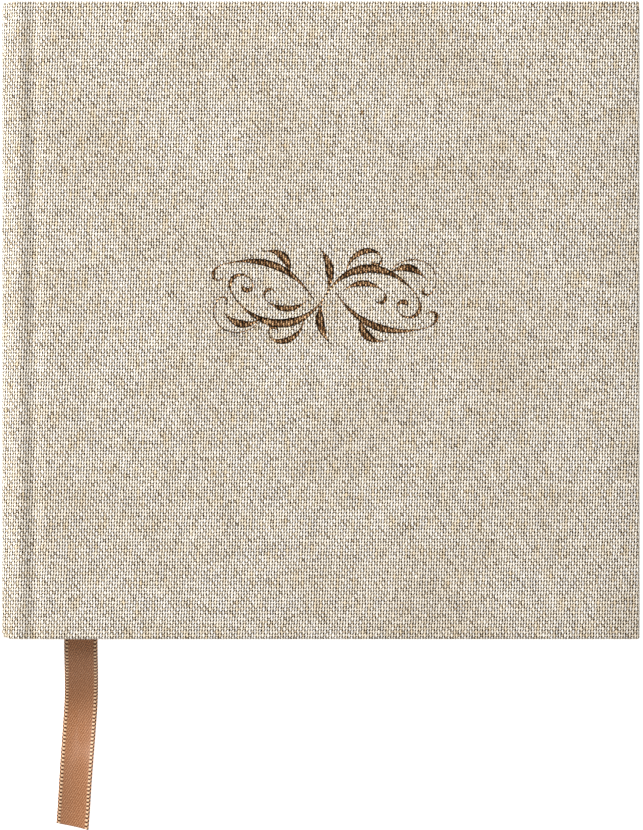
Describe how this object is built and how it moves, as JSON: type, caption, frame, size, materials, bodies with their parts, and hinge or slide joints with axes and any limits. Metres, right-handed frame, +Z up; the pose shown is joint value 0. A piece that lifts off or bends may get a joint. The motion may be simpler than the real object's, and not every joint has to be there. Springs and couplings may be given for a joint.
{
  "type": "guest book",
  "caption": "Square hardback guest book in natural linen book cloth, with hinged covers, turning leaves, flyleaves and a satin ribbon marker.",
  "frame": {"origin": "middle of the back cover's outer face, on the surface that the book lies on", "axes": "+X from the spine to the fore edge, +Y from the tail to the head, +Z up through the front cover"},
  "size_m": [0.19, 0.2456, 0.0236],
  "materials": {
    "book_cloth": "matte",
    "grey_board": "matte",
    "gauze": "matte",
    "endpaper": "matte",
    "leaf_paper": "matte",
    "kraft_paper": "matte",
    "linen_thread": "matte",
    "head_band_cloth": "satin",
    "satin_ribbon": "satin",
    "bronze_foil": "satin"
  },
  "bodies": {
    "back_cover": {"back_board": "grey_board", "back_linen": "book_cloth", "back_mull_flap": "gauze", "back_pastedown": "endpaper"},
    "back_endleaf": {"back_flyleaf": "endpaper"},
    "lower_leaves": {"signature_01": "leaf_paper", "signature_02": "leaf_paper", "signature_03": "leaf_paper", "signature_04": "leaf_paper", "signature_05": "leaf_paper", "signature_06": "leaf_paper", "spine_board": "grey_board", "spine_linen": "book_cloth", "spine_lining": "kraft_paper", "spine_mull": "gauze", "sewing_thread": "linen_thread", "head_band": "head_band_cloth", "tail_band": "head_band_cloth", "ribbon_marker": "satin_ribbon"},
    "upper_leaves": {"signature_07": "leaf_paper", "signature_08": "leaf_paper", "signature_09": "leaf_paper", "signature_10": "leaf_paper", "signature_11": "leaf_paper", "signature_12": "leaf_paper"},
    "front_endleaf": {"front_flyleaf": "endpaper"},
    "front_cover": {"front_board": "grey_board", "front_linen": "book_cloth", "front_mull_flap": "gauze", "front_pastedown": "endpaper", "foil_ornament": "bronze_foil"},
    "ribbon_end": {"ribbon_tail": "satin_ribbon"}
  },
  "joints": [
    {"name": "back_cover_hinge", "type": "hinge", "parent": "back_cover", "child": "lower_leaves", "pos_m": [-0.0908, 0, 0.0043], "axis": [0, 1, 0], "range_deg": [-90, 0]},
    {"name": "back_endleaf_turn", "type": "hinge", "parent": "back_cover", "child": "back_endleaf", "pos_m": [-0.0908, 0, 0.0043], "axis": [0, 1, 0], "range_deg": [-27, 0]},
    {"name": "leaves_turn", "type": "hinge", "parent": "lower_leaves", "child": "upper_leaves", "pos_m": [-0.0908, 0, 0.0192], "axis": [0, 1, 0], "range_deg": [-90, 0]},
    {"name": "front_cover_hinge", "type": "hinge", "parent": "upper_leaves", "child": "front_cover", "pos_m": [-0.0868, 0, 0.02365], "axis": [0, -1, 0], "range_deg": [0, 180]},
    {"name": "front_endleaf_turn", "type": "hinge", "parent": "upper_leaves", "child": "front_endleaf", "pos_m": [-0.0848, 0, 0.0193], "axis": [0, -1, 0], "range_deg": [0, 27]},
    {"name": "ribbon_lift", "type": "hinge", "parent": "lower_leaves", "child": "ribbon_end", "pos_m": [-0.0715, -0.095, 0.01175], "axis": [-1, 0, 0], "range_deg": [0, 80]}
  ],
  "couplings": [
    {"joint": "back_endleaf_turn", "follows": "back_cover_hinge", "ratio": 0.3},
    {"joint": "front_endleaf_turn", "follows": "front_cover_hinge", "ratio": 0.15}
  ]
}
